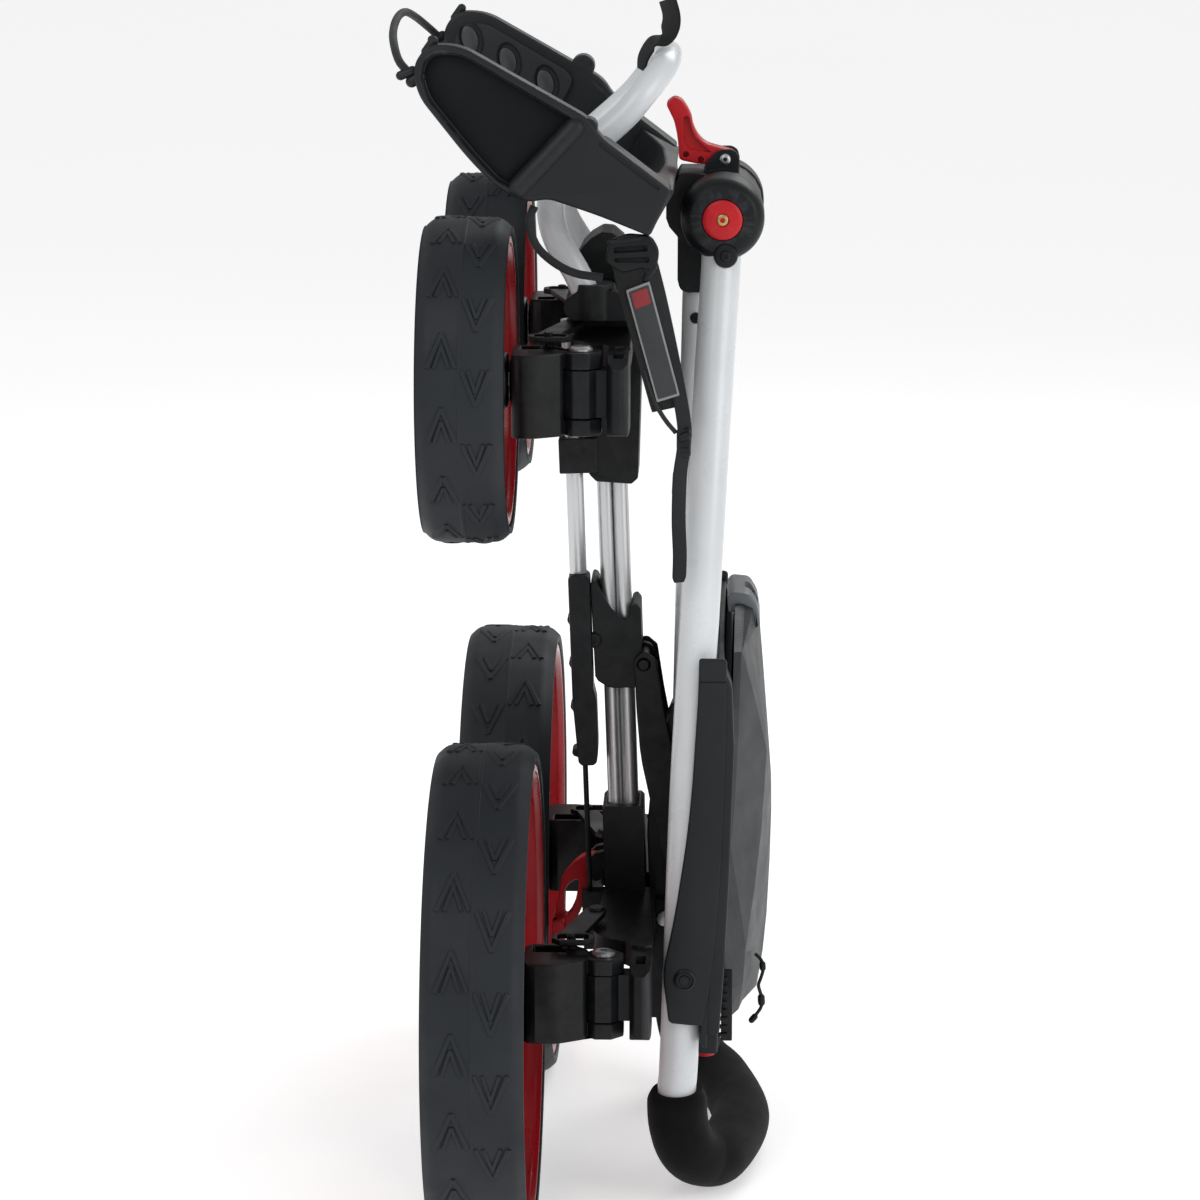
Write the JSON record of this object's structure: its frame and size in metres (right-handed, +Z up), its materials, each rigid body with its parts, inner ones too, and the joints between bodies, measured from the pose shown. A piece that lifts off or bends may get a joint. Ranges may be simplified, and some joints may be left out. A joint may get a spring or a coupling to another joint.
{
  "type": "golf push trolley",
  "caption": "Folded golf push trolley standing on end: swing-in wheels, telescoping fold linkage, bag cradle, hinged handle with console and foam grip.",
  "frame": {"origin": "on the floor under the middle of the bounding box, with the folded trolley standing on its rear wheels and its grip", "axes": "+Z up, from the rear axle to the front axle; +Y towards the trolley's right side; -X is the side that carries the folded-in wheels"},
  "size_m": [0.2354, 0.6248, 0.741],
  "materials": {
    "frame_alloy": "satin anodised",
    "painted_tube": "pearl white paint",
    "steel": "zinc plated",
    "black_plastic": "moulded glass-filled nylon",
    "grey_plastic": "fine textured",
    "red_plastic": "moulded",
    "tyre_rubber": "smooth foam-filled tyre",
    "pad_rubber": "soft pad",
    "grip_foam": "closed-cell foam",
    "webbing": "woven"
  },
  "bodies": {
    "chassis": {"rail": "frame_alloy", "front_housing": "black_plastic", "rear_housing": "black_plastic", "base_hoop": "painted_tube", "hoop_strap": "webbing", "main_pivot_pin": "steel", "front_left_hinge_pin": "steel", "front_right_hinge_pin": "steel", "rear_left_hinge_pin": "steel", "rear_right_hinge_pin": "steel"},
    "slider_unit": {"slider": "black_plastic", "grip_bar": "black_plastic", "push_rod": "frame_alloy", "shift_wire": "steel"},
    "strut_link": {"strut": "black_plastic"},
    "main_frame": {"main_tube": "painted_tube", "tube_socket": "black_plastic", "hinge_block": "black_plastic", "hinge_bolt": "steel", "bag_cradle": "grey_plastic", "cradle_pad_left": "pad_rubber", "cradle_pad_right": "pad_rubber", "bungee_tip": "webbing", "bungee_lower": "webbing", "bag_strap": "webbing"},
    "cam_lever_body": {"cam_lever": "red_plastic"},
    "handle": {"handle_loop": "painted_tube", "foam_grip": "grip_foam", "hinge_drum_left": "black_plastic", "hinge_drum_right": "black_plastic", "hinge_cap_left": "red_plastic", "hinge_cap_right": "red_plastic", "console_base": "grey_plastic"},
    "lid": {"console_lid": "grey_plastic"},
    "button": {"console_button": "red_plastic"},
    "pedal": {"brake_pedal": "red_plastic"},
    "front_left_swing_arm": {"front_left_arm": "black_plastic", "front_left_axle": "steel"},
    "front_left_link": {"front_left_shift_link": "black_plastic"},
    "front_left_wheel": {"front_left_tyre": "tyre_rubber", "front_left_rim": "red_plastic", "front_left_hub": "black_plastic"},
    "front_right_swing_arm": {"front_right_arm": "black_plastic", "front_right_axle": "steel"},
    "front_right_link": {"front_right_shift_link": "black_plastic"},
    "front_right_wheel": {"front_right_tyre": "tyre_rubber", "front_right_rim": "red_plastic", "front_right_hub": "black_plastic"},
    "rear_left_swing_arm": {"rear_left_arm": "black_plastic", "rear_left_axle": "steel"},
    "rear_left_link": {"rear_left_shift_link": "black_plastic"},
    "rear_left_wheel": {"rear_left_tyre": "tyre_rubber", "rear_left_rim": "red_plastic", "rear_left_hub": "black_plastic"},
    "rear_right_swing_arm": {"rear_right_arm": "black_plastic", "rear_right_axle": "steel"},
    "rear_right_link": {"rear_right_shift_link": "black_plastic"},
    "rear_right_wheel": {"rear_right_tyre": "tyre_rubber", "rear_right_rim": "red_plastic", "rear_right_hub": "black_plastic"}
  },
  "joints": [
    {"name": "main_fold", "type": "hinge", "parent": "chassis", "child": "main_frame", "pos_m": [0.03885, 0, 0.158], "axis": [0, 1, 0], "range_deg": [0, 110]},
    {"name": "handle_fold", "type": "hinge", "parent": "main_frame", "child": "handle", "pos_m": [0.07355, 0, 0.611], "axis": [0, -1, 0], "range_deg": [0, 166]},
    {"name": "slider_travel", "type": "slide", "parent": "chassis", "child": "slider_unit", "axis": [-0.0349, 0, 0.9994], "range_m": [-0.067, 0]},
    {"name": "strut_swing", "type": "hinge", "parent": "slider_unit", "child": "strut_link", "pos_m": [0.0258, 0, 0.32547], "axis": [0, -1, 0], "range_deg": [0, 13]},
    {"name": "cam_lever_turn", "type": "hinge", "parent": "main_frame", "child": "cam_lever_body", "pos_m": [0.07485, 0, 0.642], "axis": [0, 1, 0], "range_deg": [0, 85]},
    {"name": "lid_hinge", "type": "hinge", "parent": "handle", "child": "lid", "pos_m": [0.07485, 0, 0.112], "axis": [0, 1, 0], "range_deg": [0, 70]},
    {"name": "button_press", "type": "slide", "parent": "handle", "child": "button", "axis": [0, 0, 1], "range_m": [0, 0.003], "stiffness_N_per_m": 300, "springref_m": -0.001},
    {"name": "pedal_press", "type": "hinge", "parent": "chassis", "child": "pedal", "pos_m": [-0.00515, 0, 0.188], "axis": [0, -1, 0], "range_deg": [0, 18]},
    {"name": "front_left_swing", "type": "hinge", "parent": "chassis", "child": "front_left_swing_arm", "pos_m": [-0.01015, -0.114, 0.514], "axis": [0, 0, 1], "range_deg": [0, 91]},
    {"name": "front_left_shift", "type": "slide", "parent": "chassis", "child": "front_left_link", "axis": [0, -1, 0], "range_m": [0, 0.035]},
    {"name": "front_left_roll", "type": "hinge", "parent": "front_left_swing_arm", "child": "front_left_wheel", "pos_m": [-0.07715, -0.114, 0.521], "axis": [1, 0, 0], "continuous": true},
    {"name": "front_right_swing", "type": "hinge", "parent": "chassis", "child": "front_right_swing_arm", "pos_m": [-0.01015, 0.114, 0.514], "axis": [0, 0, -1], "range_deg": [0, 91]},
    {"name": "front_right_shift", "type": "slide", "parent": "chassis", "child": "front_right_link", "axis": [0, 1, 0], "range_m": [0, 0.035]},
    {"name": "front_right_roll", "type": "hinge", "parent": "front_right_swing_arm", "child": "front_right_wheel", "pos_m": [-0.07715, 0.114, 0.521], "axis": [1, 0, 0], "continuous": true},
    {"name": "rear_left_swing", "type": "hinge", "parent": "chassis", "child": "rear_left_swing_arm", "pos_m": [0.00485, -0.161, 0.153], "axis": [0, 0, 1], "range_deg": [0, 91]},
    {"name": "rear_left_shift", "type": "slide", "parent": "chassis", "child": "rear_left_link", "axis": [0, -1, 0], "range_m": [0, 0.035]},
    {"name": "rear_left_roll", "type": "hinge", "parent": "rear_left_swing_arm", "child": "rear_left_wheel", "pos_m": [-0.06615, -0.161, 0.1525], "axis": [1, 0, 0], "continuous": true},
    {"name": "rear_right_swing", "type": "hinge", "parent": "chassis", "child": "rear_right_swing_arm", "pos_m": [0.00485, 0.161, 0.153], "axis": [0, 0, -1], "range_deg": [0, 91]},
    {"name": "rear_right_shift", "type": "slide", "parent": "chassis", "child": "rear_right_link", "axis": [0, 1, 0], "range_m": [0, 0.035]},
    {"name": "rear_right_roll", "type": "hinge", "parent": "rear_right_swing_arm", "child": "rear_right_wheel", "pos_m": [-0.06615, 0.161, 0.1525], "axis": [1, 0, 0], "continuous": true}
  ],
  "couplings": [
    {"joint": "handle_fold", "follows": "main_fold", "ratio": 1.5},
    {"joint": "slider_travel", "follows": "main_fold", "m_per_rad": -0.0344},
    {"joint": "strut_swing", "follows": "main_fold", "ratio": 0.1136},
    {"joint": "front_left_swing", "follows": "main_fold", "ratio": 0.81818},
    {"joint": "front_left_shift", "follows": "main_fold", "m_per_rad": 0.01771},
    {"joint": "front_right_swing", "follows": "main_fold", "ratio": 0.81818},
    {"joint": "front_right_shift", "follows": "main_fold", "m_per_rad": 0.01771},
    {"joint": "rear_left_swing", "follows": "main_fold", "ratio": 0.81818},
    {"joint": "rear_left_shift", "follows": "main_fold", "m_per_rad": 0.01771},
    {"joint": "rear_right_swing", "follows": "main_fold", "ratio": 0.81818},
    {"joint": "rear_right_shift", "follows": "main_fold", "m_per_rad": 0.01771}
  ]
}
